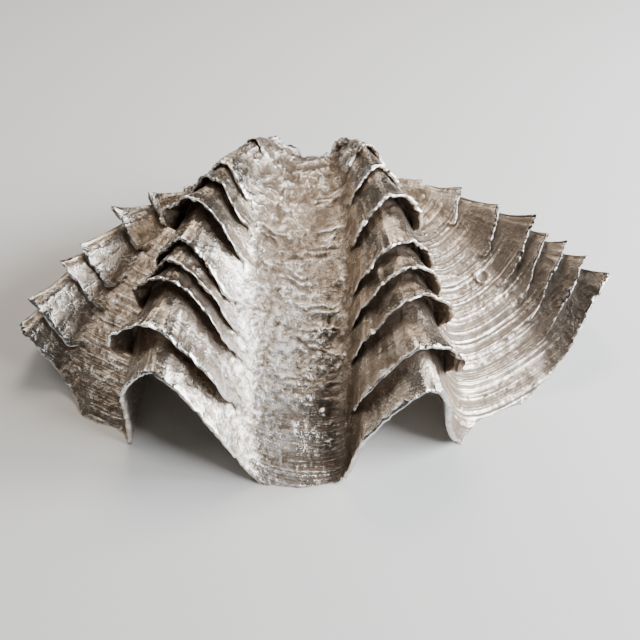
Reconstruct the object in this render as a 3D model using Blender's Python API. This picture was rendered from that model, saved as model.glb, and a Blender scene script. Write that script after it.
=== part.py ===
"""One valve of a large fluted clam shell, silver plated, lying with its hollow side down.

The valve is a single closed solid. Its base surface is spanned by rays that leave the beak and end on
the scalloped margin: four ribs, three front valleys with their sides, and the hinge side. Overlapping
scales are raised along each rib, each with a free lip and a hollow under it. The inside follows the
outside with softer ribs.

Axes: +X runs along the hinge, -Y points to the scalloped front margin, +Z is up. The origin is the
middle of the underside.
"""

import bmesh
import bpy
import numpy as np

# Lengths in this file are in millimetres until the mesh is made.
METRES = 0.001

BEAK = (3, 150, 40)
INSIDE_MIDDLE = (0, 60, 10)

# Each ray leaves the beak, bends at its rise and shoulder handles, and ends on the margin.
# The last number is the count of mesh columns up to the next ray.
RAYS = (
    ("centre_valley", (0, 158, 106), (-8, 44, 96), (-8, -82, -3), 4),
    ("centre_right", (14, 160, 106), (20, 46, 97), (14, -75, 1), 3),
    ("right_rib_side", (23, 163, 110), (33, 53, 109), (29, -70, 33), 3),
    ("right_rib", (32, 164, 112), (46, 62, 116), (61, -55, 51), 8),
    ("right_valley", (41, 152, 76), (84, 58, 70), (88, -46, -3), 4),
    ("right_flank", (52, 148, 74), (114, 59, 58), (140, -4, 6), 4),
    ("right_end_rib", (64, 141, 74), (140, 68, 66), (173, 46, 36), 5),
    ("right_end", (64, 142, 52), (136, 104, 44), (168, 84, -2), 4),
    ("hinge_right", (32, 160, 42), (76, 160, 30), (88, 147, -2), 4),
    ("hinge_middle", (4, 166, 36), (2, 166, 14), (2, 143, -2), 4),
    ("hinge_left", (-28, 160, 42), (-80, 158, 30), (-92, 143, -2), 4),
    ("left_end", (-64, 142, 52), (-136, 98, 44), (-166, 64, -2), 5),
    ("left_end_rib", (-64, 142, 78), (-146, 54, 70), (-170, 20, 24), 4),
    ("left_flank", (-51, 147, 76), (-120, 58, 66), (-152, 0, 8), 3),
    ("left_valley_side", (-45, 150, 78), (-112, 57, 70), (-134, -30, -1), 3),
    ("left_valley", (-40, 152, 80), (-104, 56, 76), (-108, -47, -3), 5),
    ("left_rib_drop", (-37, 159, 102), (-86, 60, 100), (-102, -48, 37), 4),
    ("left_rib", (-34, 164, 115), (-72, 62, 114), (-84, -48, 56), 5),
    ("centre_left", (-14, 160, 107), (-40, 46, 96), (-28, -76, 1), 4),
)

# Scales of a rib from the beak to the margin: where the lip is along the rib as a share of its length,
# how far the lip stands up, how deep the hollow reaches back under it as a share of the rib, and how
# much higher than the crest its outer corner is. The last one is the flared margin itself.
# A rib's tip is how much more its scales stand up right at the crest.
RIBS = {
    "left_rib": {
        "inner": "centre_valley", "outer": "left_valley",
        "inner_end": -0.62, "outer_drop": (0.36, 0.6), "upright": 0.6, "tip": 0,
        "scales": ((0.30, 4, 0.03, 1.0), (0.45, 5, 0.03, 1.0), (0.515, 8, 0.035, 1.1),
                   (0.60, 13, 0.05, 1.2), (0.70, 8, 0.03, 1.1), (0.75, 9, 0.03, 1.1),
                   (0.80, 13, 0.03, 1.2), (0.915, 16, 0.055, 1.35), (1.0, 6, 0, 1.0)),
    },
    "right_rib": {
        "inner": "centre_valley", "outer": "right_valley",
        "inner_end": -0.76, "outer_drop": (0.36, 0.6), "upright": 0.6, "tip": 0,
        "scales": ((0.20, 3, 0.02, 1.0), (0.325, 5, 0.03, 1.0), (0.43, 6, 0.04, 1.0),
                   (0.555, 12, 0.05, 1.2), (0.665, 10, 0.04, 1.1), (0.73, 11, 0.035, 1.1),
                   (0.805, 14, 0.04, 1.2), (0.915, 14, 0.055, 1.3), (1.0, 5, 0, 1.0)),
    },
    "left_end_rib": {
        "inner": "left_valley", "outer": "left_end",
        "inner_end": -0.48, "outer_drop": (0.15, 0.85), "upright": 0.7, "tip": 1.1,
        "scales": ((0.20, 2, 0.01, 1.0), (0.32, 2, 0.03, 1.0), (0.43, 2.5, 0.03, 1.0),
                   (0.53, 5.5, 0.045, 1.2), (0.63, 7, 0.045, 1.2), (0.755, 5, 0.05, 1.2),
                   (0.815, 5.5, 0.03, 1.2), (0.93, 6, 0.05, 1.2), (1.0, 5, 0, 1.2)),
    },
    "right_end_rib": {
        "inner": "right_valley", "outer": "right_end",
        "inner_end": -0.65, "outer_drop": (0.15, 0.85), "upright": 0.7, "tip": 1.1,
        "scales": ((0.20, 2, 0.01, 1.0), (0.38, 2, 0.03, 1.0), (0.505, 4, 0.04, 1.0),
                   (0.64, 4, 0.04, 1.2), (0.74, 6.5, 0.045, 1.3), (0.80, 4.5, 0.03, 1.2),
                   (0.855, 5.5, 0.03, 1.2), (0.92, 6, 0.035, 1.2), (1.0, 6.5, 0, 1.2)),
    },
}

FIRST_SHARE = 0.04
LIP_RISE = 1.9
LIP_HEIGHT = 3.0
HOLLOW_THICKENING = 0.5
THICKEST_LIP_SHARE = 0.5
OUTER_STEPS = 3
OUTER_STEP_POWER = 0.8
HOLLOW_STEPS = 2

# Where a rib's influence ends, across it: 0 is its crest and 1 the valley beside it.
FAR_FROM_RIB = 9.0
RIB_REACH = 0.55
CORNER_AT = 0.35
LEAN_LIMIT = -0.3
INNER_FADE_END = 0.5
TIP_WIDTH = 0.13
UPRIGHT_UNTIL = (1.0, 1.3)
SCALE_TAKES_OVER = (0.15, 0.8)

MARGIN_WALL = 3.0
BODY_WALL = 5.5
WALL_FROM_BEAK = (0.1, 0.6)
INSIDE_STEPS = 10
INSIDE_FIRST_SHARE = 0.14
INSIDE_SCALE_AT_BEAK = 0.84
INSIDE_SCALE_AT_SHOULDER = 0.94

# Puts the origin in the middle of the underside.
PLAN_MIDDLE = (1.9, 41.7)

CURVE_POINTS = 241
GRID_POINTS = 161
SIDE_STEP = 0.02

SILVER = (0.50, 0.46, 0.42, 1.0)
SILVER_ROUGHNESS = 0.38

NAMES = [ray[0] for ray in RAYS]
HANDLES = np.array([(BEAK, rise, shoulder, margin) for _, rise, shoulder, margin, _ in RAYS], float)


def ray_places():
    """The place of each ray around the shell, closing on itself after the last one."""
    margin = HANDLES[:, 3]
    gaps = np.linalg.norm(np.roll(margin, -1, axis=0) - margin, axis=1) ** 0.5
    return np.concatenate([[0], np.cumsum(gaps)])


PLACES = ray_places()
ROUND = PLACES[-1]


def ease(low, high, value):
    """0 at low, 1 at high, with a smooth step between them."""
    share = np.clip((value - low) / (high - low), 0, 1)
    return share * share * (3 - 2 * share)


def around(values, place):
    """A smooth closed curve through one value per ray, read at each place around the shell."""
    padded = np.concatenate([values[-1:], values, values[:2]])
    knots = np.concatenate([[PLACES[-2] - ROUND], PLACES[:-1], [ROUND, ROUND + PLACES[1]]])
    column = (-1,) + (1,) * (values.ndim - 1)
    gaps = np.diff(knots).reshape(column)
    slopes = np.diff(padded, axis=0) / gaps
    tangents = (slopes[1:] * gaps[:-1] + slopes[:-1] * gaps[1:]) / (gaps[:-1] + gaps[1:])
    place = np.mod(place, ROUND)
    ray = np.clip(np.searchsorted(PLACES, place, side="right") - 1, 0, len(values) - 1)
    gap = (PLACES[ray + 1] - PLACES[ray]).reshape(column)
    t = (place - PLACES[ray]).reshape(column) / gap
    following = (ray + 1) % len(values)
    return (
        (2 * t**3 - 3 * t**2 + 1) * values[ray]
        + (t**3 - 2 * t**2 + t) * gap * tangents[ray]
        + (3 * t**2 - 2 * t**3) * values[following]
        + (t**3 - t**2) * gap * tangents[following]
    )


def bezier_weights(t):
    return np.stack([(1 - t) ** 3, 3 * t * (1 - t) ** 2, 3 * t * t * (1 - t), t**3], axis=-1)


def base_points(handles, place):
    """Points of the base surface, one row per place, evenly spaced from the beak to the margin."""
    handles_here = around(handles, place)
    t = np.linspace(0, 1, CURVE_POINTS)
    curves = np.einsum("kj,mjd->mkd", bezier_weights(t), handles_here)
    steps = np.linalg.norm(np.diff(curves, axis=1), axis=2)
    travelled = np.concatenate([np.zeros((len(place), 1)), np.cumsum(steps, axis=1)], axis=1)
    shares = np.linspace(0, 1, GRID_POINTS)
    points = np.empty((len(place), GRID_POINTS, 3))
    for row, (corner, run) in enumerate(zip(handles_here, travelled)):
        points[row] = bezier_weights(np.interp(shares * run[-1], run, t)) @ corner
    return points


def base_surface(handles, place):
    """Points and outward normals of the base surface."""
    points = base_points(handles, place)
    across = base_points(handles, place + SIDE_STEP) - base_points(handles, place - SIDE_STEP)
    normals = np.cross(np.gradient(points, axis=1), across)
    normals /= np.maximum(np.linalg.norm(normals, axis=2, keepdims=True), 1e-9)
    normals[:, 0] = normals[:, 1]
    return points, normals


def read_at(grid, share):
    """Reads a grid of the base surface at any share of the way from the beak to the margin."""
    place = np.clip(share, 0, 1) * (GRID_POINTS - 1)
    low = np.clip(place.astype(int), 0, GRID_POINTS - 2)
    part = (place - low)[..., None]
    rows = np.arange(len(grid))[:, None]
    return grid[rows, low] * (1 - part) + grid[rows, low + 1] * part


def across_rib(place, name, rib):
    """Where each column is across a rib: 0 on its crest, -1 in the inner valley, 1 in the outer one."""
    crest, inner, outer = (PLACES[NAMES.index(ray)] for ray in (name, rib["inner"], rib["outer"]))

    def from_crest(value):
        return (value - crest + ROUND / 2) % ROUND - ROUND / 2

    offset = from_crest(place)
    inner_offset, outer_offset = from_crest(inner), from_crest(outer)
    position = np.where(offset * outer_offset > 0, offset / outer_offset, -offset / inner_offset)
    far = 1.5 * max(abs(inner_offset), abs(outer_offset))
    return np.where(np.abs(offset) > far, FAR_FROM_RIB, position)


def scale_reach(position, rib, corner=1.0):
    """How much of a scale's height stands at each column: it fades inwards and drops steeply outwards."""
    lean = 1 + (corner - 1) * np.clip(position / CORNER_AT, LEAN_LIMIT, 1)
    inner_fade = ease(rib["inner_end"], INNER_FADE_END * rib["inner_end"], position)
    outer_drop = 1 - ease(*rib["outer_drop"], position)
    tip = 1 + rib["tip"] * np.exp(-((position / TIP_WIDTH) ** 2))
    return lean * inner_fade * outer_drop * tip


def tile_height(share, start, lip, floor, height):
    """Height of a scale's upper face, which runs from the hollow under the last lip up to its own."""
    run = np.clip((share - start) / (lip - start), 0, 1)
    return floor * (1 - run) ** 2 + height * run**LIP_RISE


def scale_rows(position, rib):
    """Rows of the scaled outside for one rib: shares where they are flat, shares on it, and heights."""
    ones = np.ones(len(position))
    flat, shares, heights = [FIRST_SHARE], [FIRST_SHARE * ones], [0 * ones]
    start, floor, last_lip = FIRST_SHARE, 0 * ones, FIRST_SHARE
    for lip, rise, depth, corner in rib["scales"]:
        height = rise * scale_reach(position, rib, corner)
        first_row = len(shares)
        for step in range(1, OUTER_STEPS + 1):
            share = start + (lip - start) * (step / OUTER_STEPS) ** OUTER_STEP_POWER
            shares.append(share * ones)
            heights.append(tile_height(share, start, lip, floor, height))
        if depth:
            for back in np.arange(HOLLOW_STEPS + 1) / HOLLOW_STEPS:
                share = lip - depth * back
                top = tile_height(share, start, lip, floor, height)
                thickness = LIP_HEIGHT * (1 + HOLLOW_THICKENING * back)
                shares.append(share * ones)
                heights.append(top - np.minimum(thickness, THICKEST_LIP_SHARE * top))
            start, floor = lip - depth, heights[-1]
        added = len(shares) - first_row
        flat.extend(last_lip + (lip - last_lip) * (np.arange(added) + 1) / added)
        last_lip = lip
    return np.array(flat), np.array(shares).T, np.array(heights).T


def lift_direction(normals, crest_normals, position, rib, share):
    """The way a scale rises: between the surface's own normal and that of the rib's crest."""
    upright = rib["upright"] * (1 - ease(*UPRIGHT_UNTIL, np.abs(position)))
    crest = read_at(np.repeat(crest_normals, len(position), axis=0), share)
    direction = normals * (1 - upright)[:, None, None] + crest * upright[:, None, None]
    return direction / np.linalg.norm(direction, axis=2, keepdims=True)


def outside(place):
    """Rows of points over the outside, from the beak to the margin, for each column."""
    points, normals = base_surface(HANDLES, place)
    positions = {name: across_rib(place, name, rib) for name, rib in RIBS.items()}
    rows = {name: scale_rows(positions[name], rib) for name, rib in RIBS.items()}
    distances = np.minimum(np.abs(np.array(list(positions.values()))), 3) / RIB_REACH
    nearness = np.exp(-(distances**2)) + 1e-6
    nearness /= nearness.sum(axis=0)
    flat = np.einsum("jm,jr->mr", nearness, np.array([row[0] for row in rows.values()]))
    share = flat.copy()
    for name, rib in RIBS.items():
        on_scale = ease(*SCALE_TAKES_OVER, scale_reach(positions[name], rib))[:, None]
        share += on_scale * (rows[name][1] - flat)
    surface = read_at(points, share)
    surface_normals = read_at(normals, share)
    for name, rib in RIBS.items():
        crest_normals = base_surface(HANDLES, np.array([PLACES[NAMES.index(name)]]))[1]
        lift = lift_direction(surface_normals, crest_normals, positions[name], rib, share)
        surface = surface + lift * rows[name][2][..., None]
    return surface


def inside_handles():
    """The inside's rays: nearer the middle at the beak and shoulder, with softer ribs there."""
    middle = np.array(INSIDE_MIDDLE, float)
    softened = 0.25 * np.roll(HANDLES, 1, axis=0) + 0.5 * HANDLES + 0.25 * np.roll(HANDLES, -1, axis=0)
    inner = HANDLES.copy()
    inner[:, 0] = middle + (HANDLES[:, 0] - middle) * INSIDE_SCALE_AT_BEAK
    inner[:, 1] = middle + (softened[:, 1] - middle) * INSIDE_SCALE_AT_BEAK
    shoulder = 0.5 * (softened[:, 2] + HANDLES[:, 2])
    inner[:, 2] = middle + (shoulder - middle) * INSIDE_SCALE_AT_SHOULDER
    return inner


def inside(place):
    """Rows of points over the hollow inside, from the margin to the beak, for each column."""
    handles = inside_handles()
    points, normals = base_surface(handles, place)
    share = np.linspace(1, INSIDE_FIRST_SHARE, INSIDE_STEPS)[None, :] * np.ones((len(place), 1))
    surface = read_at(points, share)
    surface_normals = read_at(normals, share)
    for name, rib in RIBS.items():
        position = across_rib(place, name, rib)
        before, margin = rib["scales"][-2:]
        start = before[0] - before[2]
        height = margin[1] * scale_reach(position, rib, margin[3])
        rise = tile_height(share, start, margin[0], 0, height[:, None])
        crest_normals = base_surface(HANDLES, np.array([PLACES[NAMES.index(name)]]))[1]
        lift = lift_direction(surface_normals, crest_normals, position, rib, share)
        surface = surface + lift * rise[..., None]
    wall = MARGIN_WALL + (BODY_WALL - MARGIN_WALL) * ease(1.0, 0.8, share)
    wall *= ease(*WALL_FROM_BEAK, share)
    return surface - surface_normals * wall[..., None]


def columns():
    """Places of the mesh columns around the shell."""
    places = []
    for ray, (_, _, _, _, count) in enumerate(RAYS):
        gap = PLACES[ray + 1] - PLACES[ray]
        places.extend(PLACES[ray] + gap * np.arange(count) / count)
    return np.array(places)


def shell_mesh():
    """Vertices in metres and faces of the closed shell."""
    place = columns()
    grid = np.concatenate([outside(place), inside(place)], axis=1) - np.array([*PLAN_MIDDLE, 0.0])
    count, rows, _ = grid.shape
    column = np.arange(count)[:, None]
    following = (column + 1) % count
    row = np.arange(rows - 1)[None, :]
    faces = np.stack(
        [column * rows + row, column * rows + row + 1, following * rows + row + 1, following * rows + row],
        axis=-1,
    ).reshape(-1, 4)
    vertices = grid.reshape(-1, 3)
    outer_pole, inner_pole = len(vertices), len(vertices) + 1
    poles = [grid[:, 0].mean(axis=0), grid[:, -1].mean(axis=0)]
    vertices = np.concatenate([vertices, poles]) * METRES
    caps = []
    for this in range(count):
        after = (this + 1) % count
        caps.append((outer_pole, this * rows, after * rows))
        caps.append((inner_pole, after * rows + rows - 1, this * rows + rows - 1))
    return vertices, [tuple(face) for face in faces.tolist()] + caps


def silver_plate():
    material = bpy.data.materials.new("silver_plate")
    material.use_nodes = True
    shader = material.node_tree.nodes["Principled BSDF"]
    shader.inputs["Base Color"].default_value = SILVER
    shader.inputs["Metallic"].default_value = 1.0
    shader.inputs["Roughness"].default_value = SILVER_ROUGHNESS
    return material


def wear_flat(mesh):
    """Cuts off what reaches below the ground, so the valve rests on small flat faces."""
    work = bmesh.new()
    work.from_mesh(mesh)
    everything = work.verts[:] + work.edges[:] + work.faces[:]
    cut = bmesh.ops.bisect_plane(
        work, geom=everything, dist=1e-7, plane_co=(0, 0, 0), plane_no=(0, 0, -1), clear_outer=True
    )
    rim = [piece for piece in cut["geom_cut"] if isinstance(piece, bmesh.types.BMEdge)]
    bmesh.ops.holes_fill(work, edges=rim, sides=0)
    bmesh.ops.recalc_face_normals(work, faces=work.faces[:])
    work.to_mesh(mesh)
    work.free()


def main():
    for old in list(bpy.data.objects):
        bpy.data.objects.remove(old)
    vertices, faces = shell_mesh()
    mesh = bpy.data.meshes.new("clam_shell")
    mesh.from_pydata(vertices.tolist(), [], faces)
    wear_flat(mesh)
    mesh.materials.append(silver_plate())
    shell = bpy.data.objects.new("clam_shell", mesh)
    bpy.context.scene.collection.objects.link(shell)


main()
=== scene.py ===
"""The looks of the silver-plated clam shell: its fine surface, finish, floor, light and camera.

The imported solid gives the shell's size and place. The shape below follows the same rays and scales, and
adds what the solid leaves out: thin ragged lips, growth lines, crust, pits and nodules.
"""

import random

import bmesh
import bpy
import numpy as np
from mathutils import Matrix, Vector, noise
from mathutils.bvhtree import BVHTree


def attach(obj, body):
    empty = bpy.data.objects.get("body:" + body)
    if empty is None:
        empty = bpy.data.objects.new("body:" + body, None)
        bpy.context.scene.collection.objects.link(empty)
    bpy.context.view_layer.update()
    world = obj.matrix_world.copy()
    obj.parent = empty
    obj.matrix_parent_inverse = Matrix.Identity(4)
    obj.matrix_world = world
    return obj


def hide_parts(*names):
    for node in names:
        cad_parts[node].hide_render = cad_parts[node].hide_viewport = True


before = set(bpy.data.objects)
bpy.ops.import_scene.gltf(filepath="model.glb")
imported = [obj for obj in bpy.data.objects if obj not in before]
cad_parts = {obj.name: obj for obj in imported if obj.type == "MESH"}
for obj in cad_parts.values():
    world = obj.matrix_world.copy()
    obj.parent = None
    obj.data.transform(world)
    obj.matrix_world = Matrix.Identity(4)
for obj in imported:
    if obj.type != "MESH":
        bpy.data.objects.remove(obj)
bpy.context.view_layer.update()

# Lengths are in millimetres until a mesh is made.
METRES = 0.001

# The shell's own form, as in the solid. Each ray leaves the beak, bends at its rise and shoulder
# handles and ends on the margin. The last number counts the mesh columns up to the next ray.
BEAK = (3, 150, 40)
INSIDE_MIDDLE = (0, 60, 10)
PLAN_MIDDLE = (1.9, 41.7)
RAYS = (
    ("centre_valley", (0, 158, 106), (-8, 44, 96), (-8, -82, -3), 34),
    ("centre_right", (14, 160, 106), (20, 46, 97), (14, -75, 1), 26),
    ("right_rib_side", (23, 163, 110), (33, 53, 109), (29, -70, 33), 28),
    ("right_rib", (32, 164, 112), (46, 62, 116), (61, -55, 51), 74),
    ("right_valley", (41, 152, 76), (84, 58, 70), (88, -46, -3), 60),
    ("right_flank", (52, 148, 74), (114, 59, 58), (140, -4, 6), 54),
    ("right_end_rib", (64, 141, 74), (140, 68, 66), (173, 46, 36), 44),
    ("right_end", (64, 142, 52), (136, 104, 44), (168, 84, -2), 32),
    ("hinge_right", (32, 160, 42), (76, 160, 30), (88, 147, -2), 26),
    ("hinge_middle", (4, 166, 36), (2, 166, 14), (2, 143, -2), 26),
    ("hinge_left", (-28, 160, 42), (-80, 158, 30), (-92, 143, -2), 32),
    ("left_end", (-64, 142, 52), (-136, 98, 44), (-166, 64, -2), 44),
    ("left_end_rib", (-64, 142, 78), (-146, 54, 70), (-170, 20, 24), 36),
    ("left_flank", (-51, 147, 76), (-120, 58, 66), (-152, 0, 8), 30),
    ("left_valley_side", (-45, 150, 78), (-112, 57, 70), (-134, -30, -1), 30),
    ("left_valley", (-40, 152, 80), (-104, 56, 76), (-108, -47, -3), 38),
    ("left_rib_drop", (-37, 159, 102), (-86, 60, 100), (-102, -48, 37), 38),
    ("left_rib", (-34, 164, 115), (-72, 62, 114), (-84, -48, 56), 52),
    ("centre_left", (-14, 160, 107), (-40, 46, 96), (-28, -76, 1), 34),
)
RIBS = {
    "left_rib": {
        "inner": "centre_valley", "outer": "left_valley",
        "inner_end": -0.62, "outer_drop": (0.36, 0.6), "upright": 0.6, "tip": 0,
        "scales": ((0.30, 4, 0.03, 1.0), (0.45, 5, 0.03, 1.0), (0.515, 8, 0.035, 1.1),
                   (0.60, 13, 0.05, 1.2), (0.70, 8, 0.03, 1.1), (0.75, 9, 0.03, 1.1),
                   (0.80, 13, 0.03, 1.2), (0.915, 16, 0.055, 1.35), (1.0, 6, 0, 1.0)),
    },
    "right_rib": {
        "inner": "centre_valley", "outer": "right_valley",
        "inner_end": -0.76, "outer_drop": (0.36, 0.6), "upright": 0.6, "tip": 0,
        "scales": ((0.20, 3, 0.02, 1.0), (0.325, 5, 0.03, 1.0), (0.43, 6, 0.04, 1.0),
                   (0.555, 12, 0.05, 1.2), (0.665, 10, 0.04, 1.1), (0.73, 11, 0.035, 1.1),
                   (0.805, 14, 0.04, 1.2), (0.915, 14, 0.055, 1.3), (1.0, 5, 0, 1.0)),
    },
    "left_end_rib": {
        "inner": "left_valley", "outer": "left_end",
        "inner_end": -0.48, "outer_drop": (0.15, 0.85), "upright": 0.7, "tip": 1.1,
        "scales": ((0.20, 2, 0.01, 1.0), (0.32, 2, 0.03, 1.0), (0.43, 2.5, 0.03, 1.0),
                   (0.53, 5.5, 0.045, 1.2), (0.63, 7, 0.045, 1.2), (0.755, 5, 0.05, 1.2),
                   (0.815, 5.5, 0.03, 1.2), (0.93, 6, 0.05, 1.2), (1.0, 5, 0, 1.2)),
    },
    "right_end_rib": {
        "inner": "right_valley", "outer": "right_end",
        "inner_end": -0.65, "outer_drop": (0.15, 0.85), "upright": 0.7, "tip": 1.1,
        "scales": ((0.20, 2, 0.01, 1.0), (0.38, 2, 0.03, 1.0), (0.505, 4, 0.04, 1.0),
                   (0.64, 4, 0.04, 1.2), (0.74, 6.5, 0.045, 1.3), (0.80, 4.5, 0.03, 1.2),
                   (0.855, 5.5, 0.03, 1.2), (0.92, 6, 0.035, 1.2), (1.0, 6.5, 0, 1.2)),
    },
}
FIRST_SHARE = 0.04
LIP_RISE = 1.9
THICKEST_LIP_SHARE = 0.5
FAR_FROM_RIB = 9.0
RIB_REACH = 0.55
CORNER_AT = 0.35
LEAN_LIMIT = -0.3
INNER_FADE_END = 0.5
TIP_WIDTH = 0.13
UPRIGHT_UNTIL = (1.0, 1.3)
SCALE_TAKES_OVER = (0.15, 0.8)
CURVE_POINTS = 241
GRID_POINTS = 321
SIDE_STEP = 0.02
MOST_POSITION = 3
MARGIN_ZONE = (0.9, 1.0)
SOFTENING = (0.25, 0.5, 0.25)
INSIDE_FIRST_SHARE = 0.14
INSIDE_SCALE_AT_BEAK = 0.84
INSIDE_SCALE_AT_SHOULDER = 0.94
BODY_WALL = 5.5
WALL_FROM_BEAK = (0.1, 0.6)
WALL_FROM_MARGIN = (1.0, 0.8)
TINY = 1e-6

# The fine lips and margin, thinner than the solid's.
LIP_HEIGHT = 2.1
LIP_BULGE = 0.0022
HOLLOW_THICKENING = 1.0
MARGIN_WALL = 2.4
OUTER_STEPS = 18
OUTER_STEP_POWER = 0.8
HOLLOW_STEPS = 8
BEAK_STEPS = 3
INSIDE_STEPS = 34
EDGE_FALL_OUTSIDE = 12
EDGE_FALL_INSIDE = 4

MOST_TRIANGLES = 194_000
CUT_TOLERANCE = 1e-7

# How far the edges stray and how uneven the scales' heights are, each in slow waves and in small chips.
# A seed keeps one noise apart from another.
LIP_STRAY = (0.009, 0.0035)
LIP_UNEVENNESS = (0.24, 0.11)
MARGIN_STRAY = (0.004, 0.009)
WAVES_PER_PLACE = 0.45
CHIPS_PER_PLACE = 2.1
CHIP_OCTAVES = 3
CHIP_SEED = 0.5
HEIGHT_SEED = 1.3
MARGIN_SEED = 41.0
SEED_PER_RIB = 50.0
SEED_PER_SCALE = 3.1
LINE_NOISE_ROW = 0.37

# Growth lines: the width of a broad band, a narrow one as a share of it, and their ridges' heights.
GROWTH_BAND = 2.7
NARROW_SHARE = 0.45
BROAD_RIDGE = 0.7
NARROW_RIDGE = 0.6
RIDGE_SHARPNESS = 2.2
RIDGE_SINK = 0.7
BROAD_SEED = 5.0
NARROW_SEED = 6.0
# How the lines wander and fade: noise features per place, per millimetre along a ray, and the seed.
DRIFT = 0.9
DRIFT_NOISE = (0.14, 0.012, 9)
STRENGTH_MEAN = 0.7
STRENGTH_CHANGE = 0.6
STRENGTH_NOISE = (0.5, 0.06, 4)

# The crust's ledges: their spacing, how far they stretch along X, Y and Z, how they stray and where
# they stand.
BROAD_LEDGE = 9.0
SMALL_LEDGE = 4.2
BROAD_LEDGE_SEED = 3.0
SMALL_LEDGE_SEED = 40.0
LEDGE_STRETCH = (2.8, 1.5, 2.0)
LEDGE_STRAY = 1.15
LEDGE_STRAY_NOISE = (4, 0.75)
LEDGE_PATCH = 1.7
LEDGE_PATCH_SEED = 7
LEDGE_MEAN = 0.42
LEDGE_CHANGE = 1.7
LEDGE_RISE = 1.5
LEDGE_FALL = (0.86, 1.0)

# Other features of the surface: size, seed, octaves and roughness of each noise.
FEATURES = {
    "rough patches": (17.0, 61, 1, 1.0),
    "crust patches": (22.0, 11, 3, 0.8),
    "knobs": (3.4, 57, 3, 0.7),
    "pits": (6.0, 83, 1, 1.0),
    "swells": (13.0, 29, 2, 0.7),
    "lumps": (8.0, 0, 5, 0.75),
    "grain": (2.2, 0, 3, 0.6),
    "worn knobs": (9.0, 19, 3, 0.8),
}
HEIGHTS = {
    "broad ledges": 1.9, "small ledges": 1.1, "knobs": 0.4, "pits": 3.6, "swells": 0.9,
    "lumps": 0.5, "grain": 0.12, "grain on edges": 0.25, "worn knobs": 3.2,
}
ROUGH_MEAN = 0.45
ROUGH_CHANGE = 1.4
ROUGH_LEAST = 0.2
PIT_THRESHOLD = 0.44
CRUST_SINK = 0.5
WORN_KNOBS_END = (0.16, 0.42)

# Where the crust lies: its reach to either side of the centre valley, and the shares of a ray where it
# begins and ends there and near the beak.
CRUST_REACH = 7.2
CRUST_BEGINS = (0.04, 0.12)
CRUST_ENDS = (0.70, 0.88)
CRUST_END_STRAY = 0.10
OLD_CRUST = 0.95
OLD_CRUST_ENDS = (0.22, 0.48)
LOOSE_CRUST = 0.5
LOOSE_THRESHOLD = 0.05

# How strongly the growth lines show in each part.
LINES = {
    "everywhere": 0.10, "right valley": 0.85, "left valley": 0.28, "centre valley": 0.16,
    "front tongue": 0.5,
}
RIGHT_LINED = (("right_valley", 7.5), ("right_flank", 4.5))
LEFT_LINED = ("left_valley_side", 7.0)
LINES_BEGIN = (0.2, 0.6)
TONGUE_BEGINS = (0.80, 0.92)
LINES_HIDDEN_BY_CRUST = 0.9

# Warts: how many, their places' middle and spread, shares, sizes, and height and width per size.
NODULES = 26
NODULE_SEED = 5
NODULE_PLACES = (1.5, 1.9)
NODULE_SHARES = (0.68, 0.92)
NODULE_SIZES = (1.1, 2.3)
NODULE_HEIGHT = 0.7
NODULE_WIDTH = 1.4
# An old barnacle's ring on the right valley's floor: ray, places past it, share, radius, width, height.
BARNACLE = ("right_flank", -1.1, 0.662, 4.2, 1.0, 1.0)
BARNACLE_HOLLOW = 0.5

# Zones of the plate: ray, places past it, reach, shares where the zone begins (or, on the right rib's
# top, ends), and strength.
# The tongue's zone is a painted sheen, brightness painted where light is reflected; the right rib's top is
# rubbed bright plate.
PAINTED_SHEEN_TONGUE = ("centre_left", 0.2, 7.0, (0.42, 0.72), 1.0)
RUBBED_TOP = ("right_rib", 1.5, 5.0, (0.22, 0.32), 0.8)
# Painted shade: zones darkened where the shell lies in shade, on the right end rib, the right rib and the
# tongue.
PAINTED_SHADE_ZONES = (
    ("right_end_rib", -1.5, 8.0, (0.36, 0.6), 1.0),
    ("right_rib", -1.0, 6.0, (0.5, 0.8), 0.4),
    ("centre_right", 2.0, 6.0, (0.7, 0.85), 0.35),
)
# How far the lumps are smoothed in the painted-shade zones.
SMOOTHED_IN_SHADE_ZONES = 0.7
# The part of a reach over which a zone is at its full strength.
RAY_CORE = 0.35

NAMES = [ray[0] for ray in RAYS]
HANDLES = np.array([(BEAK, rise, shoulder, margin) for _, rise, shoulder, margin, _ in RAYS], float)


def ray_places():
    """The place of each ray around the shell, closing on itself after the last one."""
    margin = HANDLES[:, 3]
    gaps = np.linalg.norm(np.roll(margin, -1, axis=0) - margin, axis=1) ** 0.5
    return np.concatenate([[0], np.cumsum(gaps)])


PLACES = ray_places()
ROUND = PLACES[-1]


def ease(low, high, value):
    """0 at low, 1 at high, with a smooth step between them."""
    share = np.clip((value - low) / (high - low), 0, 1)
    return share * share * (3 - 2 * share)


def around(values, place):
    """A smooth closed curve through one value per ray, read at each place around the shell."""
    padded = np.concatenate([values[-1:], values, values[:2]])
    knots = np.concatenate([[PLACES[-2] - ROUND], PLACES[:-1], [ROUND, ROUND + PLACES[1]]])
    column = (-1,) + (1,) * (values.ndim - 1)
    gaps = np.diff(knots).reshape(column)
    slopes = np.diff(padded, axis=0) / gaps
    tangents = (slopes[1:] * gaps[:-1] + slopes[:-1] * gaps[1:]) / (gaps[:-1] + gaps[1:])
    place = np.mod(place, ROUND)
    ray = np.clip(np.searchsorted(PLACES, place, side="right") - 1, 0, len(values) - 1)
    gap = (PLACES[ray + 1] - PLACES[ray]).reshape(column)
    t = (place - PLACES[ray]).reshape(column) / gap
    following = (ray + 1) % len(values)
    return (
        (2 * t**3 - 3 * t**2 + 1) * values[ray]
        + (t**3 - 2 * t**2 + t) * gap * tangents[ray]
        + (3 * t**2 - 2 * t**3) * values[following]
        + (t**3 - t**2) * gap * tangents[following]
    )


def bezier_weights(t):
    return np.stack([(1 - t) ** 3, 3 * t * (1 - t) ** 2, 3 * t * t * (1 - t), t**3], axis=-1)


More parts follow.
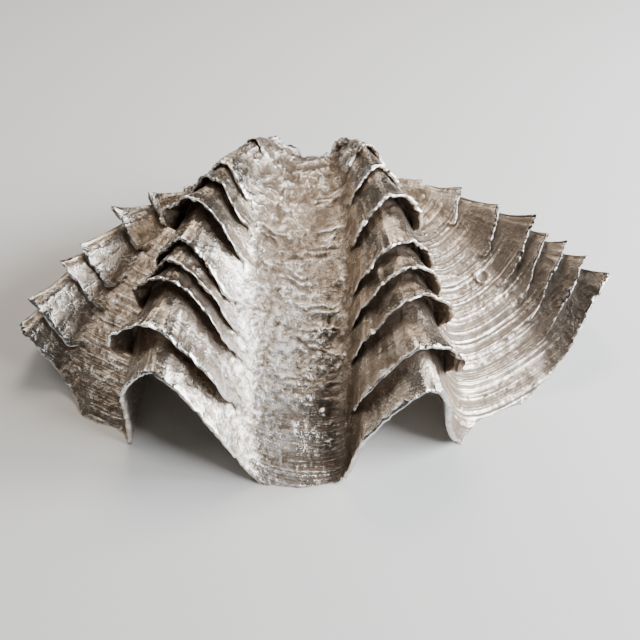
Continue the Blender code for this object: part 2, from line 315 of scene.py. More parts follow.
def base_points(handles, place):
    """Points of the base surface, one row per place, evenly spaced from the beak to the margin."""
    handles_here = around(handles, place)
    t = np.linspace(0, 1, CURVE_POINTS)
    curves = np.einsum("kj,mjd->mkd", bezier_weights(t), handles_here)
    steps = np.linalg.norm(np.diff(curves, axis=1), axis=2)
    travelled = np.concatenate([np.zeros((len(place), 1)), np.cumsum(steps, axis=1)], axis=1)
    shares = np.linspace(0, 1, GRID_POINTS)
    points = np.empty((len(place), GRID_POINTS, 3))
    for row, (corner, run) in enumerate(zip(handles_here, travelled)):
        points[row] = bezier_weights(np.interp(shares * run[-1], run, t)) @ corner
    return points, travelled[:, -1]


def unit(vectors):
    return vectors / np.maximum(np.linalg.norm(vectors, axis=-1, keepdims=True), 1e-9)


def base_surface(handles, place):
    """Points and outward normals of the base surface."""
    points = base_points(handles, place)[0]
    across = base_points(handles, place + SIDE_STEP)[0] - base_points(handles, place - SIDE_STEP)[0]
    normals = unit(np.cross(np.gradient(points, axis=1), across))
    normals[:, 0] = normals[:, 1]
    return points, normals


def read_at(grid, share):
    """Reads a grid of the base surface at any share of the way from the beak to the margin."""
    place = np.clip(share, 0, 1) * (GRID_POINTS - 1)
    low = np.clip(place.astype(int), 0, GRID_POINTS - 2)
    part = (place - low)[..., None]
    rows = np.arange(len(grid))[:, None]
    return grid[rows, low] * (1 - part) + grid[rows, low + 1] * part


def across_rib(place, name, rib):
    """Where each column is across a rib: 0 on its crest, -1 in the inner valley, 1 in the outer one."""
    crest, inner, outer = (PLACES[NAMES.index(ray)] for ray in (name, rib["inner"], rib["outer"]))

    def from_crest(value):
        return (value - crest + ROUND / 2) % ROUND - ROUND / 2

    offset = from_crest(place)
    inner_offset, outer_offset = from_crest(inner), from_crest(outer)
    position = np.where(offset * outer_offset > 0, offset / outer_offset, -offset / inner_offset)
    far = 1.5 * max(abs(inner_offset), abs(outer_offset))
    return np.where(np.abs(offset) > far, FAR_FROM_RIB, position)


def scale_reach(position, rib, corner=1.0):
    """How much of a scale's height stands at each column: it fades inwards and drops steeply outwards."""
    lean = 1 + (corner - 1) * np.clip(position / CORNER_AT, LEAN_LIMIT, 1)
    inner_fade = ease(rib["inner_end"], INNER_FADE_END * rib["inner_end"], position)
    outer_drop = 1 - ease(*rib["outer_drop"], position)
    tip = 1 + rib["tip"] * np.exp(-((position / TIP_WIDTH) ** 2))
    return lean * inner_fade * outer_drop * tip


def tile_height(share, start, lip, floor, height):
    """Height of a scale's upper face, which runs from the hollow under the last lip up to its own."""
    run = np.clip((share - start) / (lip - start), 0, 1)
    return floor * (1 - run) ** 2 + height * run**LIP_RISE


def noise_at(points, octaves=1, roughness=1.0):
    """Smooth noise from about -1 to 1 at each point. Its features are about one unit across."""
    flat = np.asarray(points, float).reshape(-1, 3).tolist()
    if octaves == 1:
        values = [noise.noise(point) for point in flat]
    else:
        values = [noise.fractal(point, roughness, 2.0, octaves) for point in flat]
    return np.array(values).reshape(np.shape(points)[:-1])


def line_noise(along, seed, octaves=1):
    """Noise along a line, one value per number in along."""
    points = np.stack([along, np.full_like(along, seed), np.full_like(along, LINE_NOISE_ROW)], axis=-1)
    return noise_at(points, octaves)


def ragged(place, seed, coarse, fine):
    """How far an edge strays at each column, in slow waves with small chips on them."""
    slow = coarse * line_noise(place * WAVES_PER_PLACE, seed)
    return slow + fine * line_noise(place * CHIPS_PER_PLACE, seed + CHIP_SEED, CHIP_OCTAVES)


def scale_rows(place, position, rib, seed):
    """Rows of the scaled outside for one rib: shares where they are flat, shares on it, heights, edges.

    The edge is 1 on a free lip and falls to 0 behind it.
    """
    ones = np.ones(len(position))
    flat = list(np.linspace(FIRST_SHARE / BEAK_STEPS, FIRST_SHARE, BEAK_STEPS))
    shares = [value * ones for value in flat]
    heights = [0 * ones] * BEAK_STEPS
    edges = [0 * ones] * BEAK_STEPS
    start, floor, last_lip = FIRST_SHARE * ones, 0 * ones, FIRST_SHARE
    for number, (lip, rise, depth, corner) in enumerate(rib["scales"]):
        key = seed + SEED_PER_SCALE * number
        lip_here = lip + ragged(place, key, *LIP_STRAY) * (depth > 0)
        rough_top = 1 + ragged(place, key + HEIGHT_SEED, *LIP_UNEVENNESS)
        height = rise * scale_reach(position, rib, corner) * rough_top
        first_row = len(shares)
        for step in range(1, OUTER_STEPS + 1):
            run = (step / OUTER_STEPS) ** OUTER_STEP_POWER
            share = start + (lip_here - start) * run
            shares.append(share)
            heights.append(tile_height(share, start, lip_here, floor, height))
            edges.append(run**EDGE_FALL_OUTSIDE * ones)
        if depth:
            top = heights[-1]
            shares.append(lip_here + LIP_BULGE)
            heights.append(top - np.minimum(0.5 * LIP_HEIGHT, 0.5 * THICKEST_LIP_SHARE * top))
            edges.append(ones)
            for back in np.arange(HOLLOW_STEPS + 1) / HOLLOW_STEPS:
                share = lip_here - depth * back
                top = tile_height(share, start, lip_here, floor, height)
                thickness = LIP_HEIGHT * (1 + HOLLOW_THICKENING * back)
                shares.append(share)
                heights.append(top - np.minimum(thickness, THICKEST_LIP_SHARE * top))
                edges.append((1 - back) ** EDGE_FALL_INSIDE * ones)
            start, floor = lip_here - depth, heights[-1]
        added = len(shares) - first_row
        flat.extend(last_lip + (lip - last_lip) * (np.arange(added) + 1) / added)
        last_lip = lip
    return np.array(flat), np.array(shares).T, np.array(heights).T, np.array(edges).T


def lift_direction(normals, crest_normals, position, rib, share):
    """The way a scale rises: between the surface's own normal and that of the rib's crest."""
    upright = rib["upright"] * (1 - ease(*UPRIGHT_UNTIL, np.abs(position)))
    crest = read_at(np.repeat(crest_normals, len(position), axis=0), share)
    return unit(normals * (1 - upright)[:, None, None] + crest * upright[:, None, None])


def margin_share(place):
    """Where the ragged margin ends each ray."""
    return 1 - np.abs(ragged(place, MARGIN_SEED, *MARGIN_STRAY))


def outside(place):
    """Rows of points over the outside, their shares and how near each is to a free edge."""
    points, normals = base_surface(HANDLES, place)
    positions = {name: across_rib(place, name, rib) for name, rib in RIBS.items()}
    rows = {
        name: scale_rows(place, positions[name], rib, SEED_PER_RIB * number)
        for number, (name, rib) in enumerate(RIBS.items())
    }
    distances = np.minimum(np.abs(np.array(list(positions.values()))), MOST_POSITION) / RIB_REACH
    nearness = np.exp(-(distances**2)) + TINY
    nearness /= nearness.sum(axis=0)
    flat = np.einsum("jm,jr->mr", nearness, np.array([row[0] for row in rows.values()]))
    share = flat.copy()
    edge = np.zeros_like(flat)
    for name, rib in RIBS.items():
        on_scale = ease(*SCALE_TAKES_OVER, scale_reach(positions[name], rib))[:, None]
        share += on_scale * (rows[name][1] - flat)
        edge += on_scale * rows[name][3]
    share *= 1 - (1 - margin_share(place))[:, None] * ease(*MARGIN_ZONE, flat)
    surface = read_at(points, share)
    surface_normals = read_at(normals, share)
    for name, rib in RIBS.items():
        crest_normals = base_surface(HANDLES, np.array([PLACES[NAMES.index(name)]]))[1]
        lift = lift_direction(surface_normals, crest_normals, positions[name], rib, share)
        surface = surface + lift * rows[name][2][..., None]
    return surface, share, edge


def inside_handles():
    """The inside's rays: nearer the middle at the beak and shoulder, with softer ribs there."""
    middle = np.array(INSIDE_MIDDLE, float)
    before, here, after = SOFTENING
    softened = before * np.roll(HANDLES, 1, axis=0) + here * HANDLES + after * np.roll(HANDLES, -1, axis=0)
    inner = HANDLES.copy()
    inner[:, 0] = middle + (HANDLES[:, 0] - middle) * INSIDE_SCALE_AT_BEAK
    inner[:, 1] = middle + (softened[:, 1] - middle) * INSIDE_SCALE_AT_BEAK
    shoulder = 0.5 * (softened[:, 2] + HANDLES[:, 2])
    inner[:, 2] = middle + (shoulder - middle) * INSIDE_SCALE_AT_SHOULDER
    return inner


def inside(place):
    """Rows of points over the hollow inside, from the margin to the beak, and their shares."""
    points, normals = base_surface(inside_handles(), place)
    share = margin_share(place)[:, None] * np.linspace(1, INSIDE_FIRST_SHARE, INSIDE_STEPS)[None, :]
    surface = read_at(points, share)
    surface_normals = read_at(normals, share)
    for name, rib in RIBS.items():
        position = across_rib(place, name, rib)
        before, margin = rib["scales"][-2:]
        start = before[0] - before[2]
        height = margin[1] * scale_reach(position, rib, margin[3])
        rise = tile_height(share, start, margin[0], 0, height[:, None])
        crest_normals = base_surface(HANDLES, np.array([PLACES[NAMES.index(name)]]))[1]
        lift = lift_direction(surface_normals, crest_normals, position, rib, share)
        surface = surface + lift * rise[..., None]
    wall = MARGIN_WALL + (BODY_WALL - MARGIN_WALL) * ease(*WALL_FROM_MARGIN, share)
    wall *= ease(*WALL_FROM_BEAK, share)
    return surface - surface_normals * wall[..., None], share


def columns():
    """Places of the mesh columns around the shell."""
    places = []
    for ray, handles in enumerate(RAYS):
        count = handles[-1]
        gap = PLACES[ray + 1] - PLACES[ray]
        places.extend(PLACES[ray] + gap * np.arange(count) / count)
    return np.array(places)


def grid_normals(grid):
    """Outward normals of a grid of points that closes on itself after the last column."""
    across = np.roll(grid, -1, axis=0) - np.roll(grid, 1, axis=0)
    return unit(np.cross(np.gradient(grid, axis=1), across))


def near_ray(place, name, reach):
    """1 on a ray, falling to 0 at reach places to either side of it."""
    offset = (place - PLACES[NAMES.index(name)] + ROUND / 2) % ROUND - ROUND / 2
    return 1 - ease(RAY_CORE * reach, reach, np.abs(offset))


def zone(place, share, name, past, reach, begins, strength):
    """A zone near a ray, from the shares where it begins down to the margin."""
    return strength * (near_ray(place - past, name, reach)[:, None] * ease(*begins, share))


def nearest(values, value):
    return int(np.argmin(np.abs(values - value)))


def sheet_noise(column, travelled, across, along, seed):
    """Noise over the net of places and travelled lengths."""
    return noise_at(np.stack([column * across, travelled * along, 0 * column + seed], axis=-1))


def ridge(value):
    """A ridge where a noise crosses 0."""
    return 1 - RIDGE_SHARPNESS * np.abs(value)


def feature(grid, kind):
    """Noise over the surface for one kind of feature."""
    size, seed, octaves, roughness = FEATURES[kind]
    return noise_at(grid / size + seed, octaves, roughness)


def growth_lines(place, travelled):
    """Ridges that run round the shell along lines of growth, uneven in spacing and height."""
    column = np.repeat(place[:, None], travelled.shape[1], axis=1)
    drift = DRIFT * sheet_noise(column, travelled, *DRIFT_NOISE)
    strength = STRENGTH_MEAN + STRENGTH_CHANGE * sheet_noise(column, travelled, *STRENGTH_NOISE)
    broad = line_noise(travelled / GROWTH_BAND + drift, BROAD_SEED)
    narrow = line_noise(travelled / (NARROW_SHARE * GROWTH_BAND) + 2 * drift, NARROW_SEED)
    return (BROAD_RIDGE * ridge(broad) + NARROW_RIDGE * ridge(narrow) - RIDGE_SINK) * strength


def ledges(grid, travelled, spacing, seed):
    """Uneven ledges that rise slowly towards the front and end there in a steep ragged edge."""
    stray = noise_at(grid / (spacing * np.array(LEDGE_STRETCH)) + seed, *LEDGE_STRAY_NOISE)
    level = travelled / spacing + LEDGE_STRAY * stray
    run = level - np.floor(level)
    patches = noise_at(grid / (LEDGE_PATCH * spacing) + seed + LEDGE_PATCH_SEED)
    strength = np.clip(LEDGE_MEAN + LEDGE_CHANGE * patches, 0, 1)
    return run**LEDGE_RISE * (1 - ease(*LEDGE_FALL, run)) * strength


def crust(grid, travelled):
    """Ragged ledges, small knobs and a few pits, as on the old part of the shell."""
    rough = np.clip(ROUGH_MEAN + ROUGH_CHANGE * feature(grid, "rough patches"), ROUGH_LEAST, 1)
    pits = HEIGHTS["pits"] * np.maximum(0, feature(grid, "pits") - PIT_THRESHOLD)
    broad = HEIGHTS["broad ledges"] * ledges(grid, travelled, BROAD_LEDGE, BROAD_LEDGE_SEED)
    small = HEIGHTS["small ledges"] * ledges(grid, travelled, SMALL_LEDGE, SMALL_LEDGE_SEED)
    knobs = HEIGHTS["knobs"] * feature(grid, "knobs")
    swells = HEIGHTS["swells"] * feature(grid, "swells")
    return broad + (small + knobs) * rough + swells - pits - CRUST_SINK


def nodules(place, grid, share):
    """Small round warts scattered over the lower centre valley."""
    rise = np.zeros(share.shape)
    scatter = random.Random(NODULE_SEED)
    for _ in range(NODULES):
        column = nearest(place, scatter.gauss(*NODULE_PLACES) % ROUND)
        row = nearest(share[column], scatter.uniform(*NODULE_SHARES))
        size = scatter.uniform(*NODULE_SIZES)
        away = np.linalg.norm(grid - grid[column, row], axis=-1)
        rise += NODULE_HEIGHT * size * (1 - ease(0.0, NODULE_WIDTH * size, away))
    return rise


def barnacle(place, grid, share):
    """The low worn ring that a barnacle left."""
    name, past, along, radius, width, height = BARNACLE
    column = nearest(place, PLACES[NAMES.index(name)] + past)
    row = nearest(share[column], along)
    away = np.linalg.norm(grid - grid[column, row], axis=-1)
    ring = height * np.exp(-(((away - radius) / width) ** 2))
    return ring - BARNACLE_HOLLOW * height * (1 - ease(0, radius, away))


def rubbed_and_sheen_share(place, share):
    """Where the plate is bright: a painted sheen on the left of the tongue, and rubbed plate on the top of
    the right rib.
    """
    name, past, reach, ends, strength = RUBBED_TOP
    top = near_ray(place - past, name, reach)[:, None] * (1 - ease(*ends, share))
    return np.clip(zone(place, share, *PAINTED_SHEEN_TONGUE) + strength * top, 0, 1)


def painted_shade_share(place, share):
    """Where painted shade darkens the plate and the lumps are smoothed: the right end rib, less on the
    right rib and the tongue.
    """
    return np.clip(sum(zone(place, share, *spot) for spot in PAINTED_SHADE_ZONES), 0, 1)


def crusted_share(place, grid, share):
    """How far the crust covers each point: the old centre valley, the beak and loose patches."""
    centre = near_ray(place, "centre_valley", CRUST_REACH)[:, None]
    patchy = feature(grid, "crust patches")
    ends = ease(*CRUST_ENDS, share + CRUST_END_STRAY * patchy)
    valley = centre * ease(*CRUST_BEGINS, share) * (1 - ends)
    old = OLD_CRUST * (1 - ease(*OLD_CRUST_ENDS, share))
    return np.clip(valley + old + LOOSE_CRUST * np.maximum(0, patchy - LOOSE_THRESHOLD), 0, 1)


def lined_share(place, share):
    """How strongly the growth lines show at each point: most in the right valley and on the tongue."""
    centre = near_ray(place, "centre_valley", CRUST_REACH)[:, None]
    right = sum(near_ray(place, name, reach)[:, None] for name, reach in RIGHT_LINED)
    left = near_ray(place, *LEFT_LINED)[:, None]
    strength = (
        LINES["everywhere"]
        + LINES["right valley"] * np.clip(right, 0, 1)
        + LINES["left valley"] * np.clip(left, 0, 1)
        + LINES["centre valley"] * centre
        + LINES["front tongue"] * (centre * ease(*TONGUE_BEGINS, share))
    )
    return strength * ease(*LINES_BEGIN, share)


def relief(place, grid, share, travelled, edge, crusted, lined):
    """Height of the fine surface over the smooth one: growth lines, crust, pits and worn lumps."""
    lumps = feature(grid, "lumps") * (1 - SMOOTHED_IN_SHADE_ZONES * painted_shade_share(place, share))
    worn_knobs = (1 - ease(*WORN_KNOBS_END, share)) * feature(grid, "worn knobs")
    return (
        lined * growth_lines(place, travelled)
        + crusted * crust(grid, travelled)
        + HEIGHTS["lumps"] * lumps
        + (HEIGHTS["grain"] + HEIGHTS["grain on edges"] * edge) * feature(grid, "grain")
        + HEIGHTS["worn knobs"] * worn_knobs
        + nodules(place, grid, share)
        + barnacle(place, grid, share)
    )


def shell_mesh():
    """Vertices in millimetres, faces, and the values at each vertex that the finish reads."""
    place = columns()
    outer, share, edge = outside(place)
    lengths = base_points(HANDLES, place)[1][:, None]
    crusted = crusted_share(place, outer, share)
    lined = lined_share(place, share) * (1 - LINES_HIDDEN_BY_CRUST * crusted)
    rise = relief(place, outer, share, share * lengths, edge, crusted, lined)
    outer = outer + grid_normals(outer) * rise[..., None]
    inner, inner_share = inside(place)
    grid = np.concatenate([outer, inner], axis=1) - np.array([*PLAN_MIDDLE, 0.0])
    growth = np.concatenate([share, inner_share], axis=1) * lengths
    count, rows, _ = grid.shape
    column = np.arange(count)[:, None]
    following = (column + 1) % count
    row = np.arange(rows - 1)[None, :]
    faces = np.stack(
        [column * rows + row, column * rows + row + 1, following * rows + row + 1, following * rows + row],
        axis=-1,
    ).reshape(-1, 4)
    vertices = grid.reshape(-1, 3)
    outer_pole, inner_pole = len(vertices), len(vertices) + 1
    poles = [grid[:, 0].mean(axis=0), grid[:, -1].mean(axis=0)]
    vertices = np.concatenate([vertices, poles])
    caps = []
    for this in range(count):
        after = (this + 1) % count
        caps.append((outer_pole, this * rows, after * rows))
        caps.append((inner_pole, after * rows + rows - 1, this * rows + rows - 1))
    values = {"growth": np.concatenate([growth.ravel(), [0, 0]])}
    painted = (
        ("relief", rise), ("edge", edge), ("crusted", crusted), ("lined", lined),
        ("rubbed_and_sheen", rubbed_and_sheen_share(place, share)), ("painted_shade", painted_shade_share(place, share)),
    )
    for name, numbers in painted:
        both = np.concatenate([numbers, 0 * inner_share], axis=1)
        values[name] = np.concatenate([both.ravel(), [0, 0]])
    return vertices, [tuple(face) for face in faces.tolist()] + caps, values


def wear_flat(mesh):
    """Cuts off what reaches below the ground, so the valve rests on small flat faces."""
    work = bmesh.new()
    work.from_mesh(mesh)
    everything = work.verts[:] + work.edges[:] + work.faces[:]
    cut = bmesh.ops.bisect_plane(
        work, geom=everything, dist=CUT_TOLERANCE, plane_co=(0, 0, 0), plane_no=(0, 0, -1), clear_outer=True
    )
    rim = [piece for piece in cut["geom_cut"] if isinstance(piece, bmesh.types.BMEdge)]
    bmesh.ops.holes_fill(work, edges=rim, sides=0)
    bmesh.ops.recalc_face_normals(work, faces=work.faces[:])
    work.to_mesh(mesh)
    work.free()


def thin_out(shell):
    """Leaves triangles where the surface bends most, within the limit for one piece."""
    shell.data.calc_loop_triangles()
    triangles = len(shell.data.loop_triangles)
    fewer = shell.modifiers.new("fewer", "DECIMATE")
    fewer.ratio = min(1.0, MOST_TRIANGLES / triangles)
    depsgraph = bpy.context.evaluated_depsgraph_get()
    thinned = bpy.data.meshes.new_from_object(shell.evaluated_get(depsgraph))
    shell.modifiers.clear()
    shell.data = thinned
    shell.data.name = "shell_surface"


def shell_piece():
    vertices, faces, values = shell_mesh()
    mesh = bpy.data.meshes.new("shell_surface")
    mesh.from_pydata((vertices * METRES).tolist(), [], faces)
    for name, numbers in values.items():
        mesh.attributes.new(name, "FLOAT", "POINT").data.foreach_set("value", numbers.astype(np.float32))
    wear_flat(mesh)
    shell = bpy.data.objects.new("shell_surface", mesh)
    bpy.context.scene.collection.objects.link(shell)
    thin_out(shell)
    shell.data.shade_smooth()
    return shell


# How much open sky each point sees, found with rays, for the darkening in recesses: partly patina, partly
# painted shade.
SKY_RAYS = 44
SKY_REACH = 0.022
SKY_START = 0.0003
LEAST_FACING = 0.12
# How many times the open sky and the wear are evened out between neighbouring vertices.
SKY_SMOOTHING = 2
WEAR_SMOOTHING = 1


def sphere_directions(count):
    """Directions spread evenly over a sphere."""
    turn = np.arange(count)
    height = 1 - 2 * (turn + 0.5) / count
    angle = turn * np.pi * (3 - 5**0.5)
    flat = np.sqrt(1 - height**2)
    return np.stack([np.cos(angle) * flat, np.sin(angle) * flat, height], axis=-1)


def openness(mesh):
    """How much of the sky over each vertex is open, from 0 in a deep hollow to 1."""
    points = np.array([vertex.co for vertex in mesh.vertices])
    normals = np.array([vertex.normal for vertex in mesh.vertices])
    tree = BVHTree.FromPolygons(points.tolist(), [tuple(face.vertices) for face in mesh.polygons])
    starts = points + normals * SKY_START
    seen = np.zeros(len(points))
    most = np.zeros(len(points))
    for direction in sphere_directions(SKY_RAYS):
        facing = normals @ direction
        chosen = np.flatnonzero(facing > LEAST_FACING)
        way = Vector(direction)
        hits = [tree.ray_cast(start, way, SKY_REACH)[3] for start in starts[chosen].tolist()]
        clear = np.array([1.0 if hit is None else (hit / SKY_REACH) ** 2 for hit in hits])
        seen[chosen] += clear * facing[chosen]
        most[chosen] += facing[chosen]
    return seen / np.maximum(most, TINY)


def spread_over_edges(mesh, values, times):
    """Evens out values between neighbouring vertices."""
    ends = np.array([edge.vertices[:] for edge in mesh.edges])
    for _ in range(times):
        total = values.copy()
        number = np.ones(len(values))
        for here, there in ((0, 1), (1, 0)):
            np.add.at(total, ends[:, here], values[ends[:, there]])
            np.add.at(number, ends[:, here], 1)
        values = total / number
    return values


def convexity(mesh):
    """How far each vertex stands out from its neighbours, for wear on ridges and lips, in millimetres."""
    points = np.array([vertex.co for vertex in mesh.vertices])
    normals = np.array([vertex.normal for vertex in mesh.vertices])
    ends = np.array([edge.vertices[:] for edge in mesh.edges])
    total = np.zeros(len(points))
    number = np.zeros(len(points))
    for here, there in ((0, 1), (1, 0)):
        step = points[ends[:, here]] - points[ends[:, there]]
        out = (step * normals[ends[:, here]]).sum(axis=1) / np.linalg.norm(step, axis=1)
        np.add.at(total, ends[:, here], out)
        np.add.at(number, ends[:, here], 1)
    return total / np.maximum(number, 1)


def node(tree, kind, **settings):
    made = tree.nodes.new(kind)
    for name, value in settings.items():
        setattr(made, name, value)
    return made


def linked_math(tree, operation, first, second):
    """A math node whose two inputs are sockets or numbers."""
    made = node(tree, "ShaderNodeMath", operation=operation)
    for number, value in enumerate((first, second)):
        if isinstance(value, (int, float)):
            made.inputs[number].default_value = value
        else:
            tree.links.new(value, made.inputs[number])
    return made.outputs[0]


def attribute(tree, name):
    return node(tree, "ShaderNodeAttribute", attribute_name=name).outputs["Fac"]


def noise_node(tree, vector, scale, detail, roughness):
    made = node(tree, "ShaderNodeTexNoise")
    tree.links.new(vector, made.inputs["Vector"])
    made.inputs["Scale"].default_value = scale
    made.inputs["Detail"].default_value = detail
    made.inputs["Roughness"].default_value = roughness
    return made.outputs["Fac"]


def ramp(tree, factor, stops):
    """A colour ramp from (position, colour) stops."""
    made = node(tree, "ShaderNodeValToRGB")
    elements = made.color_ramp.elements
    while len(elements) < len(stops):
        elements.new(0.5)
    for element, (position, colour) in zip(elements, stops):
        element.position = position
        element.color = (*colour, 1.0)
    tree.links.new(factor, made.inputs["Fac"])
    return made.outputs["Color"]


def spread(tree, factor, low, high, to_low, to_high):
    """Maps a factor from one range to another, and holds it at the ends."""
    made = node(tree, "ShaderNodeMapRange", clamp=True)
    tree.links.new(factor, made.inputs["Value"])
    for name, value in zip(("From Min", "From Max", "To Min", "To Max"), (low, high, to_low, to_high)):
        made.inputs[name].default_value = value
    return made.outputs["Result"]


def bump_node(tree, normal, height, strength, distance):
    """A bump over an earlier normal, with a strength that is a socket or a number."""
    made = node(tree, "ShaderNodeBump")
    if isinstance(strength, float):
        made.inputs["Strength"].default_value = strength
    else:
        tree.links.new(strength, made.inputs["Strength"])
    made.inputs["Distance"].default_value = distance
    tree.links.new(height, made.inputs["Height"])
    if normal:
        tree.links.new(normal, made.inputs["Normal"])
    return made.outputs["Normal"]


# Noises of the plate: features per metre, detail and roughness. The striae's features count per
# millimetre along a ray, and waver with another noise.
PLATE_NOISES = {
    "blotches": (38.0, 5.0, 0.62),
    "chips": (140.0, 3.0, 0.6),
    "grains": (620.0, 3.0, 0.65),
    "specks": (330.0, 4.0, 0.65),
}
STRIAE = (0.62, 3.0, 0.62)
STRIAE_WAVER = (14.0, 2.0, 0.55)
# What each value adds to the plate's brightness: the range that is read, and what its two ends add.
ADDED = {
    # open_sky and relief darken hollows and low spots: partly patina, partly painted shade.
    "open_sky": (0.15, 0.95, 0.08, 0.50),
    "relief": (-1.4, 1.6, -0.27, 0.27),
    "worn": (-0.16, 0.16, -0.30, 0.30),
    "blotches": (0.3, 0.7, -0.12, 0.12),
    "specks": (0.3, 0.7, -0.14, 0.16),
    "grains": (0.3, 0.7, -0.06, 0.08),
    "chips on edges": (0.4, 0.6, 0.0, 0.34),
    "striae": (0.38, 0.62, -0.64, 0.30),
    "specks where rubbed and sheened": (0.36, 0.64, 0.0, 0.46),
}
# Painted shade: how much the painted-shade zones take from the plate's brightness.
PAINTED_SHADE = -0.16
# Colours from brown patina and painted shade, at 0, to clean silver and painted sheen, at 1.
PLATE_COLOURS = (
    (0.0, (0.175, 0.13, 0.096)),
    (0.16, (0.21, 0.158, 0.12)),
    (0.36, (0.33, 0.268, 0.212)),
    (0.58, (0.58, 0.50, 0.417)),
    (0.78, (0.85, 0.80, 0.745)),
    (1.0, (0.99, 0.985, 0.97)),
)
# Painted shade: how far the painted-shade zones mix towards a dark colour, and that colour.
PAINTED_SHADE_DEPTH = 0.68
PAINTED_SHADE_COLOUR = (0.072, 0.060, 0.050, 1.0)
# Roughness and metal over the range of brightness.
PLATE_ROUGHNESS = (0.1, 0.8, 0.42, 0.17)
PLATE_METAL = (0.0, 0.25, 0.2, 1.0)
# How far the rubbed plate and the painted sheen lose their metal and scatter light as fine scratches do,
# and how much rougher their grain is.
RUBBED_AND_SHEEN_SOFTNESS = 0.38
RUBBED_GRAIN = 0.15
# Strengths over the lined and crusted values, and depths in metres, of the finest relief.
LINE_STRENGTH = (0.0, 0.9, 0.06, 0.8)
CRUST_STRENGTH = (0.0, 1.0, 0.24, 0.9)
GRAIN_STRENGTH = 0.5
STRIA_DEPTH = 0.0013
SPECK_DEPTH = 0.0016
GRAIN_DEPTH = 0.0007
# Sockets of a mix node for colours, which share their names with those for numbers.
MIX_FIRST_COLOUR, MIX_SECOND_COLOUR, MIX_RESULT = 6, 7, 2


def plate_noises(tree):
    """The noises of the plate by name."""
    place = node(tree, "ShaderNodeTexCoord").outputs["Object"]
    noises = {name: noise_node(tree, place, *kind) for name, kind in PLATE_NOISES.items()}
    line_place = node(tree, "ShaderNodeCombineXYZ")
    tree.links.new(attribute(tree, "growth"), line_place.inputs["X"])
    tree.links.new(noise_node(tree, place, *STRIAE_WAVER), line_place.inputs["Y"])
    noises["striae"] = noise_node(tree, line_place.outputs["Vector"], *STRIAE)
    return noises


def plate_brightness(tree, noises, lined, rubbed_and_sheen, painted_shade):
    """How bright the plate is at each point: 0 in brown patina and painted shade, 1 on clean silver and
    painted sheen.
    """
    shares = [spread(tree, attribute(tree, name), *ADDED[name]) for name in ("open_sky", "relief", "worn")]
    shares += [spread(tree, noises[name], *ADDED[name]) for name in ("blotches", "specks", "grains")]
    chips = spread(tree, noises["chips"], *ADDED["chips on edges"])
    striae = spread(tree, noises["striae"], *ADDED["striae"])
    # Bright specks of painted sheen on the tongue and of rubbed plate on the right rib's top.
    rubbed_and_sheen_specks = spread(tree, noises["specks"], *ADDED["specks where rubbed and sheened"])
    for place, value in (
        (attribute(tree, "edge"), chips), (lined, striae), (rubbed_and_sheen, rubbed_and_sheen_specks), (painted_shade, PAINTED_SHADE),
    ):
        shares.append(linked_math(tree, "MULTIPLY", place, value))
    total = shares[0]
    for share in shares[1:]:
        total = linked_math(tree, "ADD", total, share)
    return total


def silver_plate():
    """Worn silver plate: bright on edges and high spots, with a painted sheen on the tongue; brown patina
    and painted shade in the recesses, and painted shade on the right end rib.
    """
    material = bpy.data.materials.new("worn_silver_plate")
    material.use_nodes = True
    tree = material.node_tree
    shader = tree.nodes["Principled BSDF"]
    noises = plate_noises(tree)
    lined = attribute(tree, "lined")
    rubbed_and_sheen = attribute(tree, "rubbed_and_sheen")
    painted_shade = attribute(tree, "painted_shade")
    total = plate_brightness(tree, noises, lined, rubbed_and_sheen, painted_shade)

    # Painted shade darkens the colour in the painted-shade zones.
    darkened = node(tree, "ShaderNodeMix", data_type="RGBA")
    tree.links.new(linked_math(tree, "MULTIPLY", painted_shade, PAINTED_SHADE_DEPTH), darkened.inputs["Factor"])
    tree.links.new(ramp(tree, total, PLATE_COLOURS), darkened.inputs[MIX_FIRST_COLOUR])
    darkened.inputs[MIX_SECOND_COLOUR].default_value = PAINTED_SHADE_COLOUR
    tree.links.new(darkened.outputs[MIX_RESULT], shader.inputs["Base Color"])
    tree.links.new(spread(tree, total, *PLATE_ROUGHNESS), shader.inputs["Roughness"])
    scattered = linked_math(tree, "MULTIPLY", rubbed_and_sheen, RUBBED_AND_SHEEN_SOFTNESS)
    metal = linked_math(tree, "SUBTRACT", spread(tree, total, *PLATE_METAL), scattered)
    tree.links.new(metal, shader.inputs["Metallic"])

    line_strength = spread(tree, lined, *LINE_STRENGTH)
    rubbed_grain = linked_math(tree, "MULTIPLY", rubbed_and_sheen, RUBBED_GRAIN)
    crust_strength = spread(tree, attribute(tree, "crusted"), *CRUST_STRENGTH)
    speck_strength = linked_math(tree, "ADD", crust_strength, rubbed_grain)
    normal = bump_node(tree, None, noises["striae"], line_strength, STRIA_DEPTH)
    normal = bump_node(tree, normal, noises["specks"], speck_strength, SPECK_DEPTH)
    normal = bump_node(tree, normal, noises["grains"], GRAIN_STRENGTH, GRAIN_DEPTH)
    tree.links.new(normal, shader.inputs["Normal"])
    return material


def finish_shell(shell):
    mesh = shell.data
    sky = spread_over_edges(mesh, openness(mesh), SKY_SMOOTHING)
    worn = spread_over_edges(mesh, convexity(mesh), WEAR_SMOOTHING)
    for name, numbers in (("open_sky", sky), ("worn", worn)):
        mesh.attributes.new(name, "FLOAT", "POINT").data.foreach_set("value", numbers.astype(np.float32))
    mesh.materials.clear()
    mesh.materials.append(silver_plate())
    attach(shell, "root")
    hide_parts("clam_shell")


# The pale floor reaches well past every view.
FLOOR_HALF = 4.0
FLOOR_COLOUR = (0.68, 0.67, 0.65, 1.0)
FLOOR_ROUGHNESS = 0.75


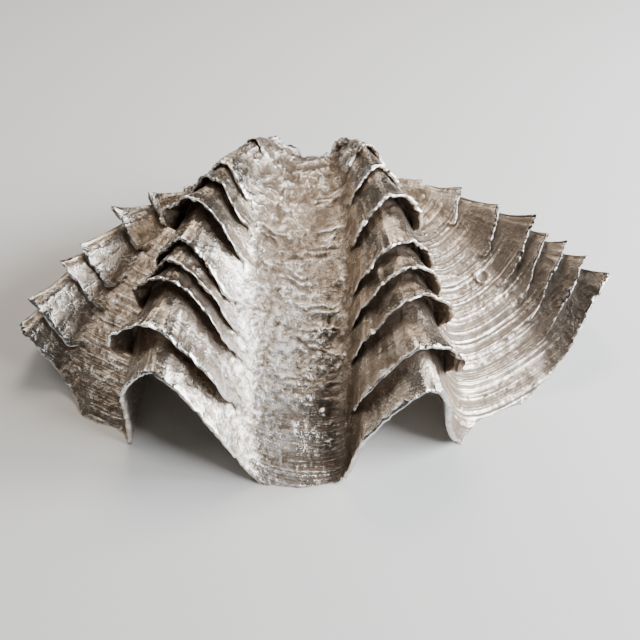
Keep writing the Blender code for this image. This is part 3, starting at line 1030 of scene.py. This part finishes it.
def floor():
    mesh = bpy.data.meshes.new("pale_floor")
    corners = [(x * FLOOR_HALF, y * FLOOR_HALF, 0.0) for x, y in ((-1, -1), (1, -1), (1, 1), (-1, 1))]
    mesh.from_pydata(corners, [], [(0, 1, 2, 3)])
    material = bpy.data.materials.new("pale_floor")
    material.use_nodes = True
    shader = material.node_tree.nodes["Principled BSDF"]
    shader.inputs["Base Color"].default_value = FLOOR_COLOUR
    shader.inputs["Roughness"].default_value = FLOOR_ROUGHNESS
    mesh.materials.append(material)
    plane = bpy.data.objects.new("pale_floor", mesh)
    bpy.context.scene.collection.objects.link(plane)


# Soft studio light: name, place, power in watts, size, colour.
LIGHTS = (
    ("key", (1.05, 0.10, 0.50), 34.0, 0.5, (0.90, 0.95, 1.0)),
    ("front_right", (0.95, -0.44, 0.74), 20.0, 0.5, (0.92, 0.96, 1.0)),
    ("top", (-0.05, 0.68, 1.00), 7.5, 0.4, (1.0, 0.89, 0.77)),
    ("top_left", (-0.60, 0.15, 1.00), 3.5, 0.6, (1.0, 0.94, 0.87)),
)
LIGHT_AIM = Vector((0.0, 0.0, 0.04))
SKY_COLOUR = (0.60, 0.60, 0.61, 1.0)
SKY_STRENGTH = 0.10


def lights():
    for name, spot, power, size, colour in LIGHTS:
        data = bpy.data.lights.new(name, "AREA")
        data.energy = power
        data.size = size
        data.color = colour
        lamp = bpy.data.objects.new(name, data)
        lamp.location = spot
        lamp.rotation_euler = (LIGHT_AIM - Vector(spot)).to_track_quat("-Z", "Y").to_euler()
        bpy.context.scene.collection.objects.link(lamp)
    world = bpy.data.worlds.new("studio")
    world.use_nodes = True
    background = world.node_tree.nodes["Background"]
    background.inputs["Color"].default_value = SKY_COLOUR
    background.inputs["Strength"].default_value = SKY_STRENGTH
    bpy.context.scene.world = world


# The photo's view: from the front, 44 degrees above the table.
CAMERA_PLACE = (-0.0019, -0.3870, 0.3784)
CAMERA_DOWN = 44
CAMERA_FOCAL = 46.9
CAMERA_SHIFT = (0.0109, 0.0156)


def camera():
    data = bpy.data.cameras.new("photo_view")
    data.lens = CAMERA_FOCAL
    data.shift_x, data.shift_y = CAMERA_SHIFT
    eye = bpy.data.objects.new("photo_view", data)
    eye.location = CAMERA_PLACE
    eye.rotation_euler = (np.radians(90 - CAMERA_DOWN), 0, 0)
    bpy.context.scene.collection.objects.link(eye)
    bpy.context.scene.camera = eye


finish_shell(shell_piece())
floor()
lights()
camera()
